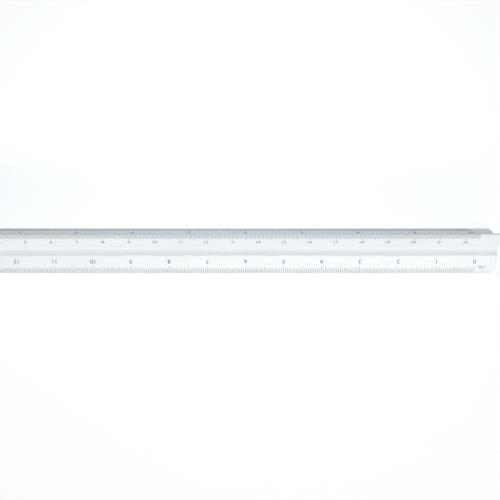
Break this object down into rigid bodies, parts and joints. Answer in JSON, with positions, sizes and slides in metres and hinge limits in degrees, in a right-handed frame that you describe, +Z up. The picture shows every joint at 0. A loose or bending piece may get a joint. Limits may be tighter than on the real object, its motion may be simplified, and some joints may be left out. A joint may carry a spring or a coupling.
{
  "type": "triangular scale ruler",
  "caption": "Triangular drafting scale: hollow white-lacquered metal core with graduated white facings on the bevels of its lobes, inlaid strips in the channels and plugged ends.",
  "frame": {"origin": "under the middle of the ruler, on the surface that its front and back lobes lie on", "axes": "+X along the ruler, towards the end that has the zero of the 1:50 scale; +Y towards the back lobe; +Z up through the top lobe"},
  "size_m": [0.323, 0.0254, 0.0221],
  "materials": {
    "facing_plastic": "satin white, finely polished",
    "core_metal": "satin white lacquer",
    "strip_plastic": "satin, nearly white",
    "plug_plastic": "matt grey",
    "graduation_ink": "matt black engraving ink"
  },
  "bodies": {
    "root": {"core_extrusion": "core_metal", "facing_1_50": "facing_plastic", "facing_1_20": "facing_plastic", "facing_1_75": "facing_plastic", "facing_1_100": "facing_plastic", "facing_1_33": "facing_plastic", "facing_1_25": "facing_plastic", "front_channel_strip": "strip_plastic", "back_channel_strip": "strip_plastic", "base_channel_strip": "strip_plastic", "left_end_plug": "plug_plastic", "right_end_plug": "plug_plastic"}
  },
  "joints": []
}
